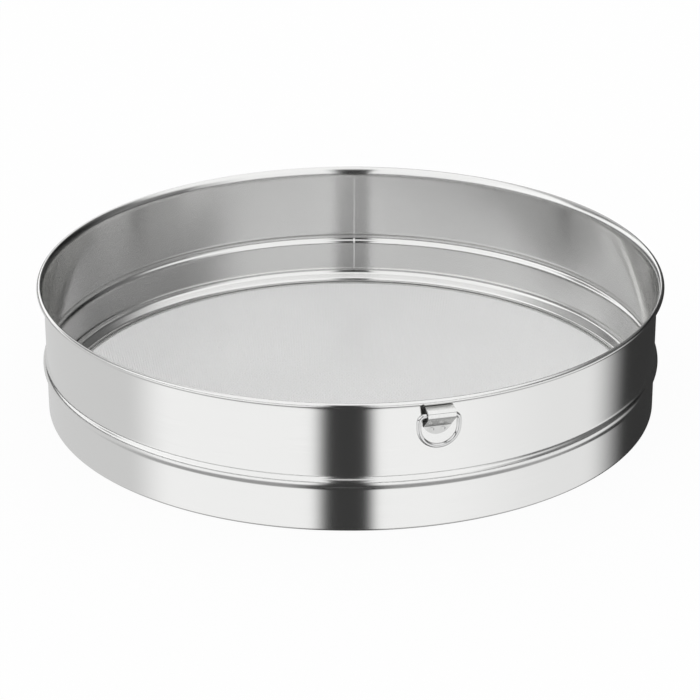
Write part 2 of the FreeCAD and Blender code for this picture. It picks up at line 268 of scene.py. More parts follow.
def grow(name, mesh, tree, values):
    """Runs a Geometry Nodes tree on a mesh and returns the plain piece that it makes."""
    piece = new_piece(name, mesh)
    modifier = piece.modifiers.new(tree.name, "NODES")
    modifier.node_group = tree
    for socket in tree.interface.items_tree:
        if socket.in_out == "INPUT" and socket.name in values:
            modifier[socket.identifier] = values[socket.name]
    settle(piece)
    return piece


def fit(piece, body, node):
    """Puts a finished piece on its body in place of its CAD node."""
    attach(piece, body)
    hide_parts(node)


class FoldLine:
    """One face of folded sheet, or a bent wire: straights and bends walked in a plane."""

    def __init__(self, across, up, heading):
        self.place = Vector((across, up))
        self.heading = heading
        self.points = []
        self.mark()

    def ahead(self):
        return Vector((math.cos(self.heading), math.sin(self.heading)))

    def left(self):
        return Vector((-math.sin(self.heading), math.cos(self.heading)))

    def mark(self):
        self.points.append((self.place.copy(), self.left()))

    def straight(self, run):
        """Walks straight on, with a holding point near each end that keeps the face flat."""
        hold = min(HOLD, run * LONGEST_HOLD_SHARE)
        for step in (hold, run - 2 * hold, hold):
            self.place = self.place + self.ahead() * step
            self.mark()

    def bend(self, radius, turn):
        """Turns left by a positive angle and right by a negative one."""
        side = math.copysign(1, turn)
        centre = self.place + self.left() * radius * side
        steps = max(LEAST_BEND_STEPS, math.ceil(abs(turn) / BEND_STEP))
        for _ in range(steps):
            self.heading += turn / steps
            self.place = centre - self.left() * radius * side
            self.mark()

    def sheet(self, thickness):
        """Outline of sheet on the line's left, or its right if negative, with rounded ends."""
        face = [place for place, _ in self.points]
        back = [place + left * thickness for place, left in self.points]
        last = round_end(self.points[-1], thickness, 1)
        first = round_end(self.points[0], thickness, -1)
        return face + last + back[::-1] + first[::-1]


def round_end(point, thickness, way):
    """Points of a sheet's rounded cut edge, from its face to its back."""
    place, left = point
    middle = place + left * thickness / 2
    ahead = Vector((left.y, -left.x)) * way
    half = abs(thickness) / 2
    inward = left * math.copysign(half, thickness)
    points = []
    for step in range(1, END_STEPS):
        turn = math.pi * step / END_STEPS
        points.append(middle - inward * math.cos(turn) + ahead * half * math.sin(turn))
    return points


# Geometry Nodes trees


def spun_sheet_tree():
    """Sweeps a sheet's section round the drum's axis."""
    tree, given = start_tree(
        "Spun sheet", {"Radius": "Float", "Steps": "Int", "Material": "Material"}
    )
    section = add_node(tree, "GeometryNodeMeshToCurve", {"Mesh": given["Geometry"]})
    circle = add_node(
        tree,
        "GeometryNodeCurvePrimitiveCircle",
        {"Resolution": given["Steps"], "Radius": given["Radius"]},
    )
    sweep = add_node(tree, "GeometryNodeCurveToMesh", {"Curve": circle, "Profile Curve": section})
    end_tree(tree, sweep, given["Material"])
    return tree


def bent_wire_tree():
    """Sweeps a wire, round or flattened, along a line."""
    tree, given = start_tree(
        "Bent wire", {"Size": "Vector", "Sides": "Int", "Material": "Material"}
    )
    path = add_node(tree, "GeometryNodeMeshToCurve", {"Mesh": given["Geometry"]})
    # The circle is 1 across, and the size scales it.
    round_profile = add_node(
        tree, "GeometryNodeCurvePrimitiveCircle", {"Resolution": given["Sides"], "Radius": 0.5}
    )
    profile = add_node(
        tree, "GeometryNodeTransform", {"Geometry": round_profile, "Scale": given["Size"]}
    )
    sweep = add_node(
        tree,
        "GeometryNodeCurveToMesh",
        {"Curve": path, "Profile Curve": profile, "Fill Caps": True},
    )
    end_tree(tree, sweep, given["Material"])
    return tree


def woven_wires_tree():
    """One bundle of a plain weave's parallel wires, each going over and under the crossing ones."""
    tree, given = start_tree(
        "Woven wires",
        {
            "Wires": "Int",
            "Width": "Float",
            "Radius": "Float",
            "Crimp": "Float",
            "Wire Radius": "Float",
            "Wire Sides": "Int",
            "Height": "Vector",
            "Turn": "Vector",
            "Bundle": "Int",
            "Bundles": "Int",
            "Material": "Material",
        },
    )
    grid = add_node(
        tree,
        "GeometryNodeMeshGrid",
        {
            "Size X": given["Width"],
            "Size Y": given["Width"],
            "Vertices X": given["Wires"],
            "Vertices Y": given["Wires"],
        },
    )
    index = add_node(tree, "GeometryNodeInputIndex")
    wire = add_node(
        tree, "FunctionNodeIntegerMath", {0: index, 1: given["Wires"]}, operation="DIVIDE_FLOOR"
    )
    # The grid has an odd number of wires, so the index itself is odd and even in turn like a
    # chessboard, and tells over from under.
    under = add_node(tree, "FunctionNodeIntegerMath", {0: index, 1: 2}, operation="MODULO")
    sunk = add_node(tree, "ShaderNodeMath", {0: given["Crimp"], 1: -1.0}, operation="MULTIPLY")
    level = add_node(
        tree, "ShaderNodeMapRange", {"Value": under, "To Min": given["Crimp"], "To Max": sunk}
    )
    offset = add_node(tree, "ShaderNodeCombineXYZ", {"Z": level})
    place = add_node(tree, "GeometryNodeInputPosition")
    reach = add_node(tree, "ShaderNodeVectorMath", {0: place}, operation="LENGTH")
    outside = add_node(
        tree,
        "ShaderNodeMath",
        {0: reach.outputs["Value"], 1: given["Radius"]},
        operation="GREATER_THAN",
    )
    bundle = add_node(
        tree, "FunctionNodeIntegerMath", {0: wire, 1: given["Bundles"]}, operation="MODULO"
    )
    elsewhere = add_node(
        tree,
        "FunctionNodeCompare",
        {"A": bundle, "B": given["Bundle"]},
        data_type="INT",
        operation="NOT_EQUAL",
    )
    unwanted = add_node(
        tree, "FunctionNodeBooleanMath", {0: outside, 1: elsewhere}, operation="OR"
    )
    trimmed = add_node(
        tree,
        "GeometryNodeDeleteGeometry",
        {"Geometry": grid, "Selection": unwanted},
        domain="POINT",
    )
    crimped = add_node(tree, "GeometryNodeSetPosition", {"Geometry": trimmed, "Offset": offset})
    lines = add_node(tree, "GeometryNodeMeshToCurve", {"Mesh": crimped})
    profile = add_node(
        tree,
        "GeometryNodeCurvePrimitiveCircle",
        {"Resolution": given["Wire Sides"], "Radius": given["Wire Radius"]},
    )
    sweep = add_node(
        tree,
        "GeometryNodeCurveToMesh",
        {"Curve": lines, "Profile Curve": profile, "Fill Caps": True},
    )
    turned = add_node(
        tree,
        "GeometryNodeTransform",
        {"Geometry": sweep, "Translation": given["Height"], "Rotation": given["Turn"]},
    )
    end_tree(tree, turned, given["Material"])
    return tree


# Materials


def empty_tree(owner):
    """The shader tree of a new material or world, cleared."""
    owner.use_nodes = True
    owner.node_tree.nodes.clear()
    return owner.node_tree


def start_metal(name):
    """A metal's tree with its output, its principled shader and its Object coordinates."""
    material = bpy.data.materials.new(name)
    tree = empty_tree(material)
    shader = add_node(tree, "ShaderNodeBsdfPrincipled", {"Metallic": 1.0})
    add_node(tree, "ShaderNodeOutputMaterial", {"Surface": shader})
    place = add_node(tree, "ShaderNodeTexCoord").outputs["Object"]
    return material, tree, shader, place


def vary_metal(tree, shader, pattern, colours, roughnesses):
    """Lets a pattern vary how softly the metal mirrors, and returns the colour that it varies."""
    smoothest, roughest = roughnesses
    roughness = add_node(
        tree, "ShaderNodeMapRange", {"Value": pattern, "To Min": smoothest, "To Max": roughest}
    )
    tree.links.new(roughness.outputs[0], shader.inputs["Roughness"])
    light, dark = colours
    tint = add_node(
        tree, "ShaderNodeMix", {0: pattern, 6: (*light, 1), 7: (*dark, 1)}, data_type="RGBA"
    )
    return tint.outputs[2]


def polished_stainless_sheet(finishes):
    """Bright-rolled stainless sheet, polished: a near mirror that the fine grain round the drum
    softens a little, and that shows faint waves left by rolling the hoop."""
    material, tree, shader, place = start_metal("Polished stainless sheet")
    grain_length = 40 * MM
    # Real polishing grain is about 0.05 mm wide; it is drawn coarser so that it shows.
    grain_width = 0.6 * MM
    wave_length = 22 * MM
    wave_height = 0.02 * MM
    roughnesses = (0.14, 0.17)
    grain_stretch_share = 0.9
    across_grain_share = 0.25
    right, back, up = add_node(tree, "ShaderNodeSeparateXYZ", {"Vector": place}).outputs
    level = add_node(tree, "ShaderNodeCombineXYZ", {"X": right, "Y": back})
    distance = add_node(tree, "ShaderNodeVectorMath", {0: level}, operation="LENGTH")
    reach = distance.outputs["Value"]
    bearing = add_node(tree, "ShaderNodeMath", {0: back, 1: right}, operation="ARCTAN2")
    round_way = add_node(tree, "ShaderNodeMath", {0: bearing, 1: reach}, operation="MULTIPLY")
    unrolled = add_node(tree, "ShaderNodeCombineXYZ", {"X": round_way, "Y": reach, "Z": up})
    grain_scale = (1 / grain_length, 1 / grain_width, 1 / grain_width)
    stretched = add_node(tree, "ShaderNodeMapping", {"Vector": unrolled, "Scale": grain_scale})
    grain = add_node(
        tree, "ShaderNodeTexNoise", {"Vector": stretched, "Scale": 1.0, "Detail": 2.0}
    )
    colours = (finishes.sheet_light, finishes.sheet_dark)
    tint = vary_metal(tree, shader, grain, colours, roughnesses)
    tree.links.new(tint, shader.inputs["Base Color"])
    # The grain runs round the drum, so mirror images are spread across it, up and down the wall.
    round_drum = add_node(tree, "ShaderNodeTangent", direction_type="RADIAL", axis="Z")
    tree.links.new(round_drum.outputs[0], shader.inputs["Tangent"])
    shader.inputs["Anisotropic"].default_value = grain_stretch_share
    shader.inputs["Anisotropic Rotation"].default_value = across_grain_share
    waves = add_node(
        tree, "ShaderNodeTexNoise", {"Vector": place, "Scale": 1 / wave_length, "Detail": 1.0}
    )
    bump = add_node(
        tree, "ShaderNodeBump", {"Height": waves, "Distance": wave_height, "Strength": 1.0}
    )
    tree.links.new(bump.outputs[0], shader.inputs["Normal"])
    return material


def woven_stainless_wire(finishes):
    """Stainless wire, drawn and woven into cloth: each wire is a satin round rod, and the cloth
    as a whole reads as an even pale grey with slightly darker patches."""
    material, tree, shader, place = start_metal("Woven stainless wire")
    patch = 45 * MM
    satin = 0.28
    noise = add_node(
        tree, "ShaderNodeTexNoise", {"Vector": place, "Scale": 1 / patch, "Detail": 1.0}
    )
    tint = add_node(
        tree,
        "ShaderNodeMix",
        {0: noise, 6: (*finishes.cloth_light, 1), 7: (*finishes.cloth_dark, 1)},
        data_type="RGBA",
    )
    tree.links.new(tint.outputs[2], shader.inputs["Base Color"])
    shader.inputs["Roughness"].default_value = satin
    return material


def rolled_stainless_strap(finishes):
    """Stainless strip as it comes from the mill, folded and not polished afterwards: bright, with
    faint streaks along the strip, and greyed round its spot welds, partly as heat tint and partly as
    painted shade on the flange's lower end."""
    material, tree, shader, place = start_metal("Rolled stainless strap")
    streak_length = 12 * MM
    streak_width = 0.8 * MM
    heat_and_shade_width = 9 * MM
    heat_and_shade_height = 5 * MM
    heat_and_shade_core_share = 0.6
    roughnesses = (0.13, 0.18)
    hanger = bpy.context.scene.sieve_hanger
    weld_height = bpy.context.scene.sieve_hoop.height - hanger.strap_drop + hanger.weld_inset
    stretched = add_node(
        tree,
        "ShaderNodeMapping",
        {"Vector": place, "Scale": (1 / streak_width, 1 / streak_length, 1 / streak_length)},
    )
    streaks = add_node(
        tree, "ShaderNodeTexNoise", {"Vector": stretched, "Scale": 1.0, "Detail": 2.0}
    )
    colours = (finishes.strap_light, finishes.strap_dark)
    tint = vary_metal(tree, shader, streaks, colours, roughnesses)
    # Painted shade: the grey round the spot welds is heat tint that also darkens the flange's lower
    # end, in place of the shade where it meets the wall
    from_welds = add_node(
        tree,
        "ShaderNodeMapping",
        {
            "Vector": place,
            "Location": (0, 0, -weld_height / heat_and_shade_height),
            "Scale": (1 / heat_and_shade_width, 0, 1 / heat_and_shade_height),
        },
    )
    distance = add_node(tree, "ShaderNodeVectorMath", {0: from_welds}, operation="LENGTH")
    reach = distance.outputs["Value"]
    heat = add_node(
        tree,
        "ShaderNodeMapRange",
        {"Value": reach, "From Min": heat_and_shade_core_share, "To Min": 1.0, "To Max": 0.0},
    )
    heated_and_shaded = add_node(
        tree,
        "ShaderNodeMix",
        {0: heat, 6: tint, 7: (*finishes.strap_heat_tint_and_shade, 1)},
        data_type="RGBA",
    )
    tree.links.new(heated_and_shaded.outputs[2], shader.inputs["Base Color"])
    return material


def bright_drawn_wire(finishes):
    """Thick stainless wire, drawn bright and bent cold: mirror-like, with faint drawing marks."""
    material, tree, shader, place = start_metal("Bright drawn stainless wire")
    mark_length = 3 * MM
    roughnesses = (0.06, 0.12)
    marks = add_node(
        tree, "ShaderNodeTexNoise", {"Vector": place, "Scale": 1 / mark_length, "Detail": 3.0}
    )
    colours = (finishes.wire_light, finishes.wire_dark)
    tint = vary_metal(tree, shader, marks, colours, roughnesses)
    tree.links.new(tint, shader.inputs["Base Color"])
    return material


def material_once(name, make):
    """The material of this name, made the first time it is asked for."""
    found = bpy.data.materials.get(name)
    return found or make(bpy.context.scene.sieve_finishes)


# Pieces


def hoop_line(hoop):
    """The hoop's outer face in section, from the lip's edge up to the curl's end."""
    base = hoop.base_bend + hoop.sheet
    crown = hoop.bead_bend + hoop.sheet
    curl_outside = hoop.curl_bend + hoop.sheet
    bead_half = (hoop.bead_bend + crown) * math.sin(hoop.bead_turn)
    flare_rise = (hoop.flare_bend - hoop.curl_bend) * math.sin(hoop.flare_turn)
    flare_start = hoop.height - curl_outside - flare_rise
    edge = hoop.sheet / 2
    line = FoldLine(hoop.wall_radius - hoop.lip_width + edge, 0, 0)
    line.straight(hoop.lip_width - base - edge)
    line.bend(base, QUARTER_TURN)
    line.straight(hoop.bead_height - bead_half - base)
    line.bend(hoop.bead_bend, -hoop.bead_turn)
    line.bend(crown, 2 * hoop.bead_turn)
    line.bend(hoop.bead_bend, -hoop.bead_turn)
    line.straight(flare_start - hoop.bead_height - bead_half)
    line.wall_top = line.place.y
    line.bend(hoop.flare_bend, -hoop.flare_turn)
    line.bend(hoop.curl_bend, -hoop.curl_turn)
    return line


def spin(name, section, radius, steps):
    """Sweeps a section of (distance from the axis, height) round the drum."""
    profile = [(across - radius, -up, 0) for across, up in section]
    values = {
        "Radius": radius,
        "Steps": steps,
        "Material": material_once("Polished stainless sheet", polished_stainless_sheet),
    }
    return grow(name, line_mesh(name, profile, True), spun_sheet_tree(), values)


def seam_weld(hoop, ring):
    """Weld metal that runs up the wall's inside, from the clamp ring to the flare."""
    line = hoop_line(hoop)
    flare_start = line.wall_top
    path = [(hoop.wall_radius - hoop.sheet, 0, ring.top_height)]
    for place, left in line.points:
        across, up = place + left * hoop.sheet
        if ring.top_height < up <= flare_start:
            path.append((across, 0, up))
    values = {
        "Size": (2 * hoop.seam_rise, hoop.seam_width, 1),
        "Sides": hoop.seam_sides,
        "Material": material_once("Polished stainless sheet", polished_stainless_sheet),
    }
    name = "drum_hoop_seam"
    piece = grow(name, line_mesh(name, path, False), bent_wire_tree(), values)
    piece.data.transform(Matrix.Rotation(hoop.seam_bearing - QUARTER_TURN, 4, "Z"))
    return piece


class SIEVE_OT_hoop(bpy.types.Operator):
    """Rolls the hoop with its lip, bead and rim"""

    bl_idname = "sieve.hoop"
    bl_label = "Hoop"

    def execute(self, context):
        hoop = context.scene.sieve_hoop
        section = hoop_line(hoop).sheet(hoop.sheet)
        piece = spin("drum_hoop_rolled", section, hoop.wall_radius, hoop.steps)
        fit(piece, "drum", "drum_hoop")
        fit(seam_weld(hoop, context.scene.sieve_clamp_ring), "drum", "drum_hoop")
        return {"FINISHED"}


class SIEVE_OT_clamp_ring(bpy.types.Operator):
    """Folds the ring that clamps the cloth into the hoop's base"""

    bl_idname = "sieve.clamp_ring"
    bl_label = "Clamp ring"

    def execute(self, context):
        hoop = context.scene.sieve_hoop
        ring = context.scene.sieve_clamp_ring
        cloth = context.scene.sieve_cloth
        collar = hoop.wall_radius - hoop.sheet - ring.fit_gap
        skirt = hoop.wall_radius - ring.reach + ring.sheet
        collar_bend = ring.collar_bend + ring.sheet
        bends = collar_bend + ring.bend
        turn = ring.shoulder_turn
        shoulder = (collar - skirt - bends * (1 - math.cos(turn))) / math.sin(turn)
        drop = bends * math.sin(turn) + shoulder * math.cos(turn)
        edge = ring.sheet / 2
        cloth_top = hoop.sheet + 2 * cloth.wire
        line = FoldLine(collar, ring.top_height - edge, -QUARTER_TURN)
        line.straight(ring.collar_height - edge)
        line.bend(collar_bend, -turn)
        line.straight(shoulder)
        line.bend(ring.bend, turn)
        line.straight(ring.top_height - ring.collar_height - drop - cloth_top - edge)
        piece = spin("clamp_ring_folded", line.sheet(-ring.sheet), hoop.wall_radius, hoop.steps)
        fit(piece, "drum", "mesh_clamp_ring")
        return {"FINISHED"}


class SIEVE_OT_cloth(bpy.types.Operator):
    """Weaves the wire cloth across the base"""

    bl_idname = "sieve.cloth"
    bl_label = "Wire cloth"

    def execute(self, context):
        cloth = context.scene.sieve_cloth
        tree = woven_wires_tree()
        # A real cloth is finer; it is drawn as fine as the limit on faces allows.
        half_wires = math.ceil(cloth.radius / cloth.pitch)
        middle = context.scene.sieve_hoop.sheet + cloth.wire
        for way, crimp, turn in (("warp", 1, 0), ("weft", -1, QUARTER_TURN)):
            for bundle in range(cloth.bundles):
                values = {
                    "Wires": 2 * half_wires + 1,
                    "Width": 2 * half_wires * cloth.pitch,
                    "Radius": cloth.radius,
                    "Crimp": crimp * cloth.wire / 2,
                    "Wire Radius": cloth.wire / 2,
                    "Wire Sides": cloth.wire_sides,
                    "Height": (0, 0, middle),
                    "Turn": (0, 0, cloth.turn + turn),
                    "Bundle": bundle,
                    "Bundles": cloth.bundles,
                    "Material": material_once("Woven stainless wire", woven_stainless_wire),
                }
                name = f"cloth_{way}_{bundle + 1}"
                piece = grow(name, bpy.data.meshes.new(name), tree, values)
                # The floor's disc under the cloth stands in for its wires in mirrors.
                piece.visible_glossy = False
                fit(piece, "drum", "mesh_disc")
        return {"FINISHED"}


def strap_roof(hanger):
    """Straight run of the strap's roof, and its top's height above the bar."""
    turn = hanger.roof_turn
    inside = hanger.wire / 2 + hanger.bar_room
    reach = hanger.standoff + inside - hanger.tuck_gap - hanger.strap_bend * (1 - math.cos(turn))
    run = reach / math.sin(turn)
    bends = (hanger.strap_bend + hanger.strap_sheet) * math.sin(turn)
    return run, hanger.front_height + bends + run * math.cos(turn)


def bar_height(hoop, hanger):
    """Height of the ring's bar, where the strap's roof fits under the rolled rim."""
    rim_underside = hoop.height - 2 * (hoop.curl_bend + hoop.sheet)
    _, roof_rise = strap_roof(hanger)
    return rim_underside - hanger.rim_gap - roof_rise


def strap_line(hoop, hanger):
    """The strap's inner face in section above its flange: distance from the axis and height."""
    inside = hanger.wire / 2 + hanger.bar_room
    flange_bend = hanger.strap_bend + hanger.strap_sheet
    slope = hanger.slope_turn
    out_to_bar = hanger.standoff - hanger.fit_gap + inside * math.cos(slope)
    slope_run = (out_to_bar - flange_bend * (1 - math.cos(slope))) / math.sin(slope)
    slope_rise = flange_bend * math.sin(slope) + slope_run * math.cos(slope)
    start = bar_height(hoop, hanger) - inside * math.sin(slope) - slope_rise
    roof_run, _ = strap_roof(hanger)
    line = FoldLine(hoop.wall_radius + hanger.fit_gap, start, QUARTER_TURN)
    line.bend(flange_bend, -slope)
    line.straight(slope_run)
    line.bend(inside, slope)
    line.straight(hanger.front_height)
    line.bend(hanger.strap_bend, hanger.roof_turn)
    line.straight(roof_run)
    return line


def strap_columns(shell, hoop, hanger):
    """Points of the strap's inner and outer face, in columns across its width."""
    rows = strap_line(hoop, hanger).points
    foot, foot_left = rows[0]
    bottom = hoop.height - hanger.strap_drop
    end_radius = hanger.strap_width / 2 + hanger.end_ease
    columns = round(hanger.strap_width / hanger.grid)
    flange_rows = round((foot.y - bottom) / hanger.grid)
    inner = []
    outer = []
    for column in range(columns + 1):
        across = hanger.strap_width * (column / columns - 1 / 2)
        low = bottom + end_radius - math.sqrt(end_radius**2 - across**2)
        strip = []
        for row in range(flange_rows):
            height = low + (foot.y - low) * row / flange_rows
            strip.append((Vector((foot.x, height)), foot_left))
        strip += rows
        inner.append([shell.verts.new((across, -place.x, place.y)) for place, _ in strip])
        dented = []
        for place, left in strip:
            out, up = place - left * hanger.strap_sheet
            out -= weld_dent(hanger, across, up - bottom)
            dented.append(shell.verts.new((across, -out, up)))
        outer.append(dented)
    return inner, outer


class SIEVE_OT_strap(bpy.types.Operator):
    """Folds the strap that holds the ring's bar, with its spot welds"""

    bl_idname = "sieve.strap"
    bl_label = "Hanger strap"

    def execute(self, context):
        hanger = context.scene.sieve_hanger
        shell = bmesh.new()
        inner, outer = strap_columns(shell, context.scene.sieve_hoop, hanger)
        join_strap(shell, inner, outer)
        for face in shell.faces:
            face.smooth = True
        mesh = bpy.data.meshes.new("hanger_strap_folded")
        shell.to_mesh(mesh)
        shell.free()
        mesh.materials.append(material_once("Rolled stainless strap", rolled_stainless_strap))
        piece = new_piece("hanger_strap_folded", mesh)
        rounding = piece.modifiers.new("Eased edges", "BEVEL")
        rounding.width = hanger.edge_ease
        rounding.segments = hanger.ease_steps
        rounding.limit_method = "ANGLE"
        rounding.angle_limit = hanger.ease_turn
        settle(piece)
        fit(piece, "drum", "hanger_strap")
        return {"FINISHED"}


def weld_dent(hanger, across, up):
    """Depth of a spot weld's dimple at a place on the flange."""
    if up > hanger.weld_inset + hanger.weld_radius:
        return 0
    aside = abs(across) - hanger.weld_spread / 2
    share = math.hypot(aside, up - hanger.weld_inset) / hanger.weld_radius
    return hanger.weld_depth * max(0, 1 - share**hanger.weld_flatness)


def join_strap(shell, inner, outer):
    """Covers the strap's two faces and its four edges."""
    last = len(inner) - 1
    top = len(inner[0]) - 1
    for column in range(last):
        for row in range(top):
            for side in (inner, outer):
                shell.faces.new(
                    (
                        side[column][row],
                        side[column + 1][row],
                        side[column + 1][row + 1],
                        side[column][row + 1],
                    )
                )
        for row in (0, top):
            shell.faces.new(
                (inner[column][row], inner[column + 1][row], outer[column + 1][row], outer[column][row])
            )
    for column in (0, last):
        for row in range(top):
            shell.faces.new(
                (inner[column][row], inner[column][row + 1], outer[column][row + 1], outer[column][row])
            )


class SIEVE_OT_ring(bpy.types.Operator):
    """Bends the D-shaped hanging ring from wire"""

    bl_idname = "sieve.ring"
    bl_label = "Hanging ring"

    def execute(self, context):
        hoop = context.scene.sieve_hoop
        hanger = context.scene.sieve_hanger
        bow = hanger.strap_width / 2 + hanger.side_room + hanger.wire / 2
        half_bar = bow - hanger.corner
        leg = hanger.inside_height + hanger.wire - hanger.corner - bow
        line = FoldLine(-half_bar - hanger.side_shift, bar_height(hoop, hanger), 0)
        line.straight(2 * half_bar)
        line.bend(hanger.corner, -QUARTER_TURN)
        line.straight(leg)
        line.bend(bow, -2 * QUARTER_TURN)
        line.straight(leg)
        line.bend(hanger.corner, -QUARTER_TURN)
        depth = -(hoop.wall_radius + hanger.standoff)
        path = [(place.x, depth, place.y) for place, _ in line.points[:-1]]
        values = {
            "Size": (hanger.wire, hanger.wire, 1),
            "Sides": hanger.wire_sides,
            "Material": material_once("Bright drawn stainless wire", bright_drawn_wire),
        }
        name = "hanger_ring_bent"
        piece = grow(name, line_mesh(name, path, True), bent_wire_tree(), values)
        # The wall is too softly polished to mirror the thin wire.
        piece.visible_glossy = False
        fit(piece, "swing_ring", "hanger_ring")
        return {"FINISHED"}


# Stage


def paper_floor(settings):
    """Matt white paper sweep: the camera sees it nearly plain white, with a faint shadow."""
    material = bpy.data.materials.new("White paper")
    tree = empty_tree(material)
    plain_share = 0.93
    paper = add_node(tree, "ShaderNodeBsdfDiffuse", {"Color": (*settings.floor_colour, 1)})
    white = add_node(tree, "ShaderNodeEmission", {"Color": (1, 1, 1, 1), "Strength": 1.0})
    seen = add_node(tree, "ShaderNodeLightPath").outputs["Is Camera Ray"]
    share = add_node(tree, "ShaderNodeMath", {0: seen, 1: plain_share}, operation="MULTIPLY")
    mixed = add_node(tree, "ShaderNodeMixShader", {0: share, 1: paper, 2: white})
    add_node(tree, "ShaderNodeOutputMaterial", {"Surface": mixed})
    return material


def shaded_floor(settings, cloth):
    """The paper under the cloth.

    The cloth's wires are finer than a picture shows in a mirror, so the walls mirror this disc in
    their place. It has the sheen of wires that run across the view: sharp along the wires and
    spread out over them.
    """
    material = bpy.data.materials.new("White paper under the cloth")
    tree = empty_tree(material)
    plain_share = 1.0
    sheen_share = 0.72
    sheen_roughness = 0.23
    sheen_stretch_share = 0.85
    paper = add_node(tree, "ShaderNodeBsdfDiffuse", {"Color": (*settings.shade_colour, 1)})
    white = add_node(tree, "ShaderNodeEmission", {"Color": (1, 1, 1, 1), "Strength": 1.0})
    along = add_node(
        tree, "ShaderNodeCombineXYZ", {"X": math.cos(cloth.turn), "Y": math.sin(cloth.turn)}
    )
    sheen = add_node(
        tree,
        "ShaderNodeBsdfAnisotropic",
        {
            "Color": (*settings.floor_colour, 1),
            "Roughness": sheen_roughness,
            "Anisotropy": sheen_stretch_share,
            "Tangent": along,
        },
    )
    path = add_node(tree, "ShaderNodeLightPath").outputs
    rays = (("Is Camera Ray", plain_share, white), ("Is Glossy Ray", sheen_share, sheen))
    look = paper
    for ray, share, part in rays:
        shown = add_node(tree, "ShaderNodeMath", {0: path[ray], 1: share}, operation="MULTIPLY")
        look = add_node(tree, "ShaderNodeMixShader", {0: shown, 1: look, 2: part})
    add_node(tree, "ShaderNodeOutputMaterial", {"Surface": look})
    return material


# Light levels that metal sees in the studio, where 1 is white, and shares that dim them
WHITE_LEVEL = 1.0
CORNER_LEVEL = 0.12
LEFT_CORNER_LEVEL = 0.4
UNDER_LEVEL = 0.36
DARK_LEVEL = 0.04
LEFT_TABLE_SHARE = 0.66
RIGHT_TABLE_SHARE = 0.86
LEFT_SCREEN_SHARE = 1.12
RIGHT_SCREEN_SHARE = 0.55
RIGHT_EDGE_SHARE = 0.35
REAR_SHARE = 0.45
LEFT_THIRD_SHARE = 1.0
RIGHT_THIRD_SHARE = 0.55

# Where the studio's soft edges start and end: bearings to the camera's right, in degrees
RIGHT_ROOM_BEARINGS = (98, 126)
LEFT_TABLE_BEARINGS = (-92, -70)
RIGHT_TABLE_BEARINGS = (25, 90)
LEFT_SCREEN_BEARINGS = (-75, -35)
RIGHT_SCREEN_BEARINGS = (42, 64)
RIGHT_EDGE_BEARINGS = (65, 68)
REAR_BEARINGS = (148, 165)
THIRD_BEARINGS = (-47, -39)

# The same in heights above level, in degrees
UNDER_HEIGHTS = (-60, -35)
TABLE_HEIGHTS = (8, 10)
ROOF_HEIGHTS = (34, 48)
REAR_MIDDLE_HEIGHTS = (26, 31)
CORNER_FOOT_HEIGHTS = (27, 33)
LEFT_CORNER_TOP_HEIGHTS = (70, 50)
RIGHT_CORNER_TOP_HEIGHTS = (66, 31)
LEFT_CORNER_FADE_HEIGHTS = (33, 41)
SEAM_FOOT_HEIGHTS = (2, 5)
SEAM_TOP_HEIGHTS = (15, 12)
LOW_GAP_TOP_HEIGHTS = (2, -2)
HIGH_GAP_FOOT_HEIGHTS = (-2, 2)
HIGH_GAP_TOP_HEIGHTS = (66, 56)

# The same in shares of a direction that lead to the camera's right, or towards it
MIDDLE_SHARES = (-0.1, 0.1)
REAR_MIDDLE_FRONT_SHARES = (-0.1, -0.3)
REAR_MIDDLE_SIDE_SHARES = (0.3, 0.12)
CORNER_FRONT_SHARES = (-0.1, -0.28)
CORNER_SIDE_SHARES = (0.12, 0.3)
LOW_GAP_LEFT_SHARES = (-0.27, -0.085)
LOW_GAP_RIGHT_SHARES = (0.2, 0.05)
HIGH_GAP_LEFT_SHARES = (-0.15, -0.09)
HIGH_GAP_RIGHT_SHARES = (0.16, 0.02)

# The same in times that light has been mirrored
THIRD_MIRROR_COUNTS = (2.4, 2.6)


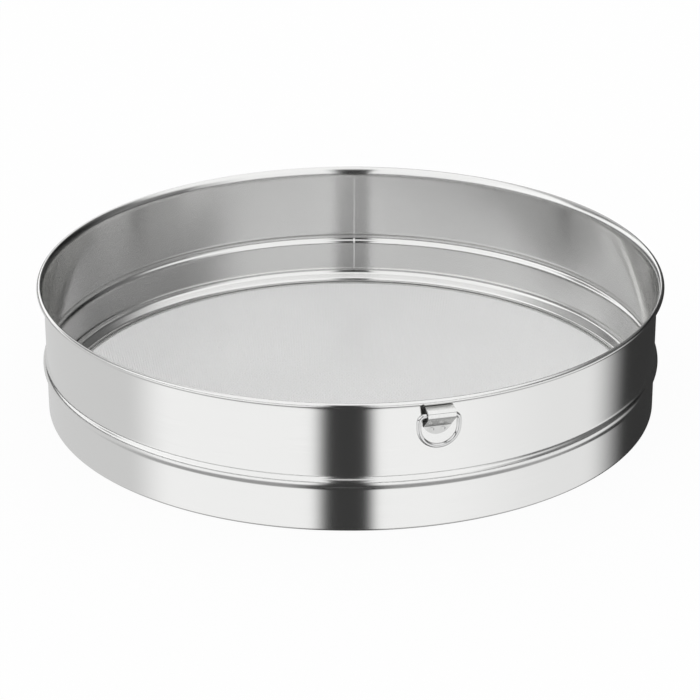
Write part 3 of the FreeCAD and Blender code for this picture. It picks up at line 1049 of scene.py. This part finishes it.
def soft_studio(settings):
    """A white table between two white screens and under a white roof, with a dark seam between
    the table and the screens, a dark room behind on the right and a dark gap for the camera.

    The camera sees plain white, and only metal sees the screens, the seam and the gap.
    """
    world = bpy.data.worlds.new("Soft studio")
    tree = empty_tree(world)
    direction = add_node(tree, "ShaderNodeTexCoord").outputs["Generated"]
    turned = add_node(
        tree,
        "ShaderNodeVectorRotate",
        {"Vector": direction, "Angle": -settings.bearing},
        rotation_type="Z_AXIS",
    )
    right, back, up = add_node(tree, "ShaderNodeSeparateXYZ", {"Vector": turned}).outputs
    front = add_node(tree, "ShaderNodeMath", {0: back, 1: -1.0}, operation="MULTIPLY")
    aside = add_node(tree, "ShaderNodeMath", {0: right}, operation="ABSOLUTE")
    height = add_node(tree, "ShaderNodeMath", {0: up}, operation="ARCSINE")
    bearing = add_node(tree, "ShaderNodeMath", {0: right, 1: front}, operation="ARCTAN2")

    def soft_edge(value, edge, before=0.0, after=1.0):
        """A level that changes smoothly from one side of an edge to the other."""
        start, end = edge
        return add_node(
            tree,
            "ShaderNodeMapRange",
            {"Value": value, "From Min": start, "From Max": end, "To Min": before, "To Max": after},
            interpolation_type="SMOOTHSTEP",
        )

    def by_bearing(edge, before, after):
        """A level that changes round the drum."""
        return soft_edge(bearing, [math.radians(side) for side in edge], before, after)

    def by_height(edge, before=0.0, after=1.0):
        """A level that changes upwards."""
        return soft_edge(height, [math.radians(side) for side in edge], before, after)

    def blend(share, without, within):
        """A level that goes from one to the other as a share goes from 0 to 1."""
        return soft_edge(share, (0.0, 1.0), without, within)

    def product(*levels):
        """Levels that dim each other."""
        total, *others = levels
        for level in others:
            total = add_node(tree, "ShaderNodeMath", {0: total, 1: level}, operation="MULTIPLY")
        return total

    right_room = by_bearing(RIGHT_ROOM_BEARINGS, WHITE_LEVEL, DARK_LEVEL)
    rear = by_bearing(REAR_BEARINGS, 0.0, REAR_SHARE)
    table = product(
        by_bearing(LEFT_TABLE_BEARINGS, LEFT_TABLE_SHARE, 1.0),
        by_bearing(RIGHT_TABLE_BEARINGS, 1.0, RIGHT_TABLE_SHARE),
        right_room,
    )
    screens = product(
        by_bearing(LEFT_SCREEN_BEARINGS, LEFT_SCREEN_SHARE, 1.0),
        by_bearing(RIGHT_SCREEN_BEARINGS, 1.0, RIGHT_SCREEN_SHARE),
        by_bearing(RIGHT_EDGE_BEARINGS, 1.0, RIGHT_EDGE_SHARE),
        add_node(tree, "ShaderNodeMath", {0: right_room, 1: rear}, operation="MAXIMUM"),
    )
    lower = by_height(UNDER_HEIGHTS, UNDER_LEVEL, table)
    middle = by_height(TABLE_HEIGHTS, lower, screens)
    covered = by_height(ROOF_HEIGHTS, middle, WHITE_LEVEL)
    rear_middle = product(
        soft_edge(front, REAR_MIDDLE_FRONT_SHARES),
        soft_edge(aside, REAR_MIDDLE_SIDE_SHARES),
        by_height(REAR_MIDDLE_HEIGHTS),
    )
    backed = blend(rear_middle, covered, WHITE_LEVEL)
    left_top = by_height(LEFT_CORNER_TOP_HEIGHTS)
    right_top = by_height(RIGHT_CORNER_TOP_HEIGHTS)
    rear_corners = product(
        soft_edge(front, CORNER_FRONT_SHARES),
        soft_edge(aside, CORNER_SIDE_SHARES),
        by_height(CORNER_FOOT_HEIGHTS),
        soft_edge(right, MIDDLE_SHARES, left_top, right_top),
    )
    left_corner = by_height(LEFT_CORNER_FADE_HEIGHTS, CORNER_LEVEL, LEFT_CORNER_LEVEL)
    corner = soft_edge(right, MIDDLE_SHARES, left_corner, CORNER_LEVEL)
    whole = blend(rear_corners, backed, corner)
    seam = product(by_height(SEAM_FOOT_HEIGHTS), by_height(SEAM_TOP_HEIGHTS))
    low_gap = product(
        soft_edge(right, LOW_GAP_LEFT_SHARES),
        soft_edge(right, LOW_GAP_RIGHT_SHARES),
        by_height(LOW_GAP_TOP_HEIGHTS),
    )
    high_gap = product(
        soft_edge(right, HIGH_GAP_LEFT_SHARES),
        soft_edge(right, HIGH_GAP_RIGHT_SHARES),
        by_height(HIGH_GAP_FOOT_HEIGHTS),
        by_height(HIGH_GAP_TOP_HEIGHTS),
    )
    gaps = add_node(tree, "ShaderNodeMath", {0: low_gap, 1: high_gap}, operation="ADD")
    gap = product(gaps, soft_edge(front, MIDDLE_SHARES))
    dark = add_node(tree, "ShaderNodeMath", {0: seam, 1: gap}, operation="MAXIMUM")
    studio = blend(dark, whole, DARK_LEVEL)

    path = add_node(tree, "ShaderNodeLightPath").outputs
    mirrored = add_node(
        tree,
        "ShaderNodeMath",
        {0: path["Is Glossy Ray"], 1: path["Is Transmission Ray"]},
        operation="MAXIMUM",
    )
    # Light from the right that comes over the wall, the cloth and the wall again is mostly lost.
    third_share = by_bearing(THIRD_BEARINGS, LEFT_THIRD_SHARE, RIGHT_THIRD_SHARE)
    kept = soft_edge(path["Glossy Depth"], THIRD_MIRROR_COUNTS, 1.0, third_share)
    reflected = blend(mirrored, WHITE_LEVEL, product(studio, kept))
    seen = blend(path["Is Camera Ray"], reflected, WHITE_LEVEL)
    light = add_node(tree, "ShaderNodeBackground", {"Color": (1, 1, 1, 1), "Strength": seen})
    add_node(tree, "ShaderNodeOutputWorld", {"Surface": light})
    return world


def set_camera(scene, studio):
    """Puts the camera in its place and aims it at the drum."""
    turn = Matrix.Rotation(studio.bearing, 4, "Z")
    place = turn @ Vector((studio.aside, -studio.camera_distance, studio.camera_height))
    aim = turn @ Vector((studio.aside, 0, studio.aim_height))
    camera = bpy.data.objects.new("Camera", bpy.data.cameras.new("Camera"))
    camera.data.lens = studio.lens
    look = (aim - place).to_track_quat("-Z", "Y").to_matrix().to_4x4()
    roll = Matrix.Rotation(studio.roll, 4, "Z")
    camera.matrix_world = Matrix.Translation(place) @ look @ roll
    scene.collection.objects.link(camera)
    scene.camera = camera


def lay_floor(studio):
    """Lays the paper sweep that the drum stands on."""
    half = studio.floor_size / 2
    corners = [(-half, -half), (half, -half), (half, half), (-half, half)]
    mesh = bpy.data.meshes.new("floor")
    mesh.from_pydata([(*corner, -studio.floor_gap) for corner in corners], [], [(0, 1, 2, 3)])
    mesh.materials.append(paper_floor(studio))
    floor = new_piece("floor", mesh)
    # The wall's outside mirrors the studio alone, as it does over a sweep that is lit evenly.
    floor.visible_glossy = False


def lay_disc(hoop, studio, cloth):
    """Lays the disc of paper that shows under the cloth."""
    disc = bmesh.new()
    bmesh.ops.create_circle(
        disc, cap_ends=True, segments=hoop.steps, radius=hoop.wall_radius - hoop.lip_width
    )
    mesh = bpy.data.meshes.new("floor_under_cloth")
    disc.to_mesh(mesh)
    disc.free()
    mesh.materials.append(shaded_floor(studio, cloth))
    new_piece("floor_under_cloth", mesh)


class SIEVE_OT_stage(bpy.types.Operator):
    """Sets up the camera, the paper floor and the soft light"""

    bl_idname = "sieve.stage"
    bl_label = "Stage"

    def execute(self, context):
        scene = context.scene
        studio = scene.sieve_studio
        set_camera(scene, studio)
        lay_floor(studio)
        lay_disc(scene.sieve_hoop, studio, scene.sieve_cloth)
        scene.world = soft_studio(studio)
        scene.cycles.glossy_bounces = studio.mirror_bounces
        scene.view_settings.view_transform = "Standard"
        return {"FINISHED"}


class SIEVE_PT_panel(bpy.types.Panel):
    """Sizes, colours and the steps that build the sieve"""

    bl_idname = "SIEVE_PT_panel"
    bl_label = "Drum sieve"
    bl_space_type = "VIEW_3D"
    bl_region_type = "UI"
    bl_category = "Sieve"

    def draw(self, context):
        for operator in OPERATORS:
            self.layout.operator(operator.bl_idname)
        for name in GROUPS:
            group = getattr(context.scene, name)
            box = self.layout.box()
            box.label(text=type(group).__name__)
            for key in type(group).__annotations__:
                box.prop(group, key)


GROUPS = {
    "sieve_hoop": HoopSizes,
    "sieve_clamp_ring": ClampRingSizes,
    "sieve_cloth": ClothSizes,
    "sieve_hanger": HangerSizes,
    "sieve_finishes": Finishes,
    "sieve_studio": StudioSettings,
}
OPERATORS = (
    SIEVE_OT_hoop,
    SIEVE_OT_clamp_ring,
    SIEVE_OT_cloth,
    SIEVE_OT_strap,
    SIEVE_OT_ring,
    SIEVE_OT_stage,
)
CLASSES = (*GROUPS.values(), *OPERATORS, SIEVE_PT_panel)


def register():
    for item in CLASSES:
        bpy.utils.register_class(item)
    for name, group in GROUPS.items():
        setattr(bpy.types.Scene, name, bpy.props.PointerProperty(type=group))


def unregister():
    for name in GROUPS:
        delattr(bpy.types.Scene, name)
    for item in reversed(CLASSES):
        bpy.utils.unregister_class(item)


def main():
    register()
    bpy.ops.sieve.hoop()
    bpy.ops.sieve.clamp_ring()
    bpy.ops.sieve.cloth()
    bpy.ops.sieve.strap()
    bpy.ops.sieve.ring()
    bpy.ops.sieve.stage()


if __name__ == "__main__":
    main()
